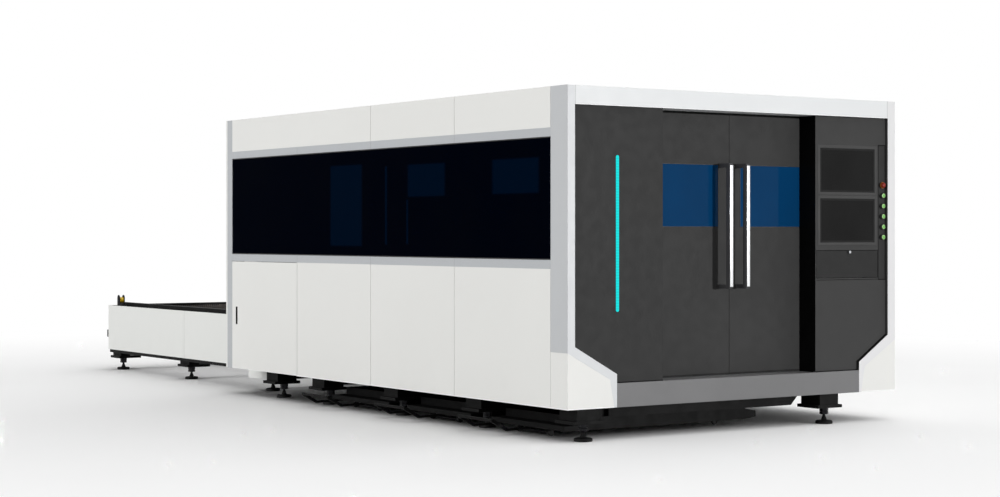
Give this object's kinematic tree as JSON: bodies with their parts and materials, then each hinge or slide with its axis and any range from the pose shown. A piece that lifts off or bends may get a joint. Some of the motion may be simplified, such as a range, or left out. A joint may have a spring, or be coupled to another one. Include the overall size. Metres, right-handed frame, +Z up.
{
  "type": "fiber laser cutting machine",
  "caption": "Fully enclosed flatbed laser cutter with sliding front doors, an operator cabinet, long side windows and a pallet exchange table behind it.",
  "frame": {"origin": "on the floor, below the middle of the whole machine", "axes": "+Y from the operator's front towards the exchange table, +X to the operator's right, +Z up"},
  "size_m": [2.82, 7.485, 2.1],
  "materials": {
    "white_paint": "fine satin powder coat",
    "light_grey_paint": "fine satin powder coat",
    "mid_grey_paint": "satin powder coat",
    "dark_paint": "fine matt powder coat",
    "black_frame_paint": "matt paint",
    "black_plastic_paint": "satin paint",
    "black_feet": "matt",
    "black_rubber": "matt",
    "ground_steel": "ground",
    "slat_steel": "hot rolled, laser cut edges",
    "zinc_steel": "zinc plated",
    "satin_aluminium": "satin anodised",
    "beam_aluminium": "machined",
    "chrome": "polished",
    "screen_black": "glossy glass front",
    "black_plastic": "fine texture",
    "cyan_light": "lit diffuser",
    "green_plastic": "lit cap",
    "red_plastic": "smooth",
    "yellow_plastic": "smooth",
    "blue_window": "laser safety pane",
    "dark_glass": "dark laser safety pane"
  },
  "bodies": {
    "machine": {"bed_frame": "black_frame_paint", "levelling_feet": "black_feet", "gantry_rails": "ground_steel", "pallet_rails": "black_frame_paint", "enclosure_frame": "black_frame_paint", "roof_panels": "white_paint", "rear_wall": "white_paint", "sliding_tracks": "zinc_steel", "front_left_trim": "light_grey_paint", "front_right_trim": "light_grey_paint", "front_corner_blocks": "white_paint", "front_header": "white_paint", "front_sill": "mid_grey_paint", "left_fascia": "dark_paint", "led_strip": "cyan_light", "control_cabinet": "dark_paint", "monitors": "screen_black", "button_strip": "dark_paint", "emergency_stop_base": "yellow_plastic", "side_upper_panels": "white_paint", "side_lower_panels": "white_paint", "side_trims": "light_grey_paint", "side_window_glass": "dark_glass", "table_frame": "black_frame_paint", "table_panels": "white_paint"},
    "left_door": {"left_door_leaf": "dark_paint", "left_door_window": "blue_window", "left_door_handle": "satin_aluminium"},
    "right_door": {"right_door_leaf": "dark_paint", "right_door_window": "blue_window", "right_door_handle": "satin_aluminium"},
    "drawer": {"keyboard_drawer": "dark_paint", "keyboard": "black_plastic"},
    "lock": {"drawer_lock": "chrome"},
    "emergency_stop": {"emergency_stop_button": "red_plastic"},
    "left_service": {"left_service_door": "white_paint"},
    "right_service": {"right_service_door": "white_paint"},
    "gate": {"rear_gate": "dark_paint"},
    "upper_pallet": {"upper_pallet_frame": "black_frame_paint", "upper_pallet_slats": "slat_steel"},
    "lower_pallet": {"lower_pallet_frame": "black_frame_paint", "lower_pallet_slats": "slat_steel"},
    "roller": {"stop_roller": "yellow_plastic"},
    "gantry": {"gantry_beam": "beam_aluminium"},
    "carriage": {"head_carriage": "black_plastic_paint"},
    "head": {"cutting_head": "black_plastic_paint"},
    "button_1": {"green_button_1": "green_plastic"},
    "button_2": {"green_button_2": "green_plastic"},
    "button_3": {"green_button_3": "green_plastic"},
    "button_4": {"green_button_4": "green_plastic"},
    "button_5": {"green_button_5": "green_plastic"},
    "trolley_1": {"scrap_trolley_1": "black_frame_paint"},
    "trolley_1_left_axle": {"trolley_1_left_wheels": "black_rubber"},
    "trolley_1_right_axle": {"trolley_1_right_wheels": "black_rubber"},
    "trolley_2": {"scrap_trolley_2": "black_frame_paint"},
    "trolley_2_left_axle": {"trolley_2_left_wheels": "black_rubber"},
    "trolley_2_right_axle": {"trolley_2_right_wheels": "black_rubber"},
    "trolley_3": {"scrap_trolley_3": "black_frame_paint"},
    "trolley_3_left_axle": {"trolley_3_left_wheels": "black_rubber"},
    "trolley_3_right_axle": {"trolley_3_right_wheels": "black_rubber"}
  },
  "joints": [
    {"name": "left_door_slide", "type": "slide", "parent": "machine", "child": "left_door", "axis": [-1, 0, 0], "range_m": [0, 0.55]},
    {"name": "right_door_slide", "type": "slide", "parent": "machine", "child": "right_door", "axis": [1, 0, 0], "range_m": [0, 0.45]},
    {"name": "drawer_slide", "type": "slide", "parent": "machine", "child": "drawer", "axis": [0, -1, 0], "range_m": [0, 0.1]},
    {"name": "lock_turn", "type": "hinge", "parent": "drawer", "child": "lock", "pos_m": [1.009, -3.7225, 1.108], "axis": [0, -1, 0], "range_deg": [0, 90]},
    {"name": "emergency_stop_push", "type": "slide", "parent": "machine", "child": "emergency_stop", "axis": [0, 1, 0], "range_m": [0, 0.004], "stiffness_N_per_m": 800},
    {"name": "left_service_hinge", "type": "hinge", "parent": "machine", "child": "left_service", "pos_m": [-1.262, -0.4135, 0.195], "axis": [0, 0, 1], "range_deg": [0, 110]},
    {"name": "right_service_hinge", "type": "hinge", "parent": "machine", "child": "right_service", "pos_m": [1.402, -3.5605, 0.195], "axis": [0, 0, -1], "range_deg": [0, 110]},
    {"name": "gate_lift", "type": "slide", "parent": "machine", "child": "gate", "axis": [0, 0, -1], "range_m": [0, 0.44]},
    {"name": "upper_pallet_travel", "type": "slide", "parent": "machine", "child": "upper_pallet", "axis": [0, -1, 0], "range_m": [0, 3.32]},
    {"name": "lower_pallet_travel", "type": "slide", "parent": "machine", "child": "lower_pallet", "axis": [0, 1, 0], "range_m": [0, 3.32]},
    {"name": "stop_roller_spin", "type": "hinge", "parent": "machine", "child": "roller", "pos_m": [-0.943, 3.5195, 0.632], "axis": [1, 0, 0], "continuous": true},
    {"name": "gantry_travel", "type": "slide", "parent": "machine", "child": "gantry", "axis": [0, 1, 0], "range_m": [0, 3.5]},
    {"name": "carriage_travel", "type": "slide", "parent": "gantry", "child": "carriage", "axis": [1, 0, 0], "range_m": [0, 1.36]},
    {"name": "head_travel", "type": "slide", "parent": "carriage", "child": "head", "axis": [0, 0, -1], "range_m": [0, 0.12]},
    {"name": "button_1_push", "type": "slide", "parent": "machine", "child": "button_1", "axis": [0, 1, 0], "range_m": [0, 0.004], "stiffness_N_per_m": 400},
    {"name": "button_2_push", "type": "slide", "parent": "machine", "child": "button_2", "axis": [0, 1, 0], "range_m": [0, 0.004], "stiffness_N_per_m": 400},
    {"name": "button_3_push", "type": "slide", "parent": "machine", "child": "button_3", "axis": [0, 1, 0], "range_m": [0, 0.004], "stiffness_N_per_m": 400},
    {"name": "button_4_push", "type": "slide", "parent": "machine", "child": "button_4", "axis": [0, 1, 0], "range_m": [0, 0.004], "stiffness_N_per_m": 400},
    {"name": "button_5_push", "type": "slide", "parent": "machine", "child": "button_5", "axis": [0, 1, 0], "range_m": [0, 0.004], "stiffness_N_per_m": 400},
    {"name": "trolley_1_slide", "type": "slide", "parent": "machine", "child": "trolley_1", "axis": [-1, 0, 0], "range_m": [0, 1.45]},
    {"name": "trolley_1_left_roll", "type": "hinge", "parent": "trolley_1", "child": "trolley_1_left_axle", "pos_m": [-1.085, -3.5325, 0.02], "axis": [0, 1, 0], "continuous": true},
    {"name": "trolley_1_right_roll", "type": "hinge", "parent": "trolley_1", "child": "trolley_1_right_axle", "pos_m": [0.21, -3.5325, 0.02], "axis": [0, 1, 0], "continuous": true},
    {"name": "trolley_2_slide", "type": "slide", "parent": "machine", "child": "trolley_2", "axis": [-1, 0, 0], "range_m": [0, 1.45]},
    {"name": "trolley_2_left_roll", "type": "hinge", "parent": "trolley_2", "child": "trolley_2_left_axle", "pos_m": [-1.085, -2.5175, 0.02], "axis": [0, 1, 0], "continuous": true},
    {"name": "trolley_2_right_roll", "type": "hinge", "parent": "trolley_2", "child": "trolley_2_right_axle", "pos_m": [0.21, -2.5175, 0.02], "axis": [0, 1, 0], "continuous": true},
    {"name": "trolley_3_slide", "type": "slide", "parent": "machine", "child": "trolley_3", "axis": [-1, 0, 0], "range_m": [0, 1.45]},
    {"name": "trolley_3_left_roll", "type": "hinge", "parent": "trolley_3", "child": "trolley_3_left_axle", "pos_m": [-1.085, -1.5025, 0.02], "axis": [0, 1, 0], "continuous": true},
    {"name": "trolley_3_right_roll", "type": "hinge", "parent": "trolley_3", "child": "trolley_3_right_axle", "pos_m": [0.21, -1.5025, 0.02], "axis": [0, 1, 0], "continuous": true}
  ],
  "couplings": [
    {"joint": "lower_pallet_travel", "follows": "upper_pallet_travel", "ratio": 1}
  ]
}
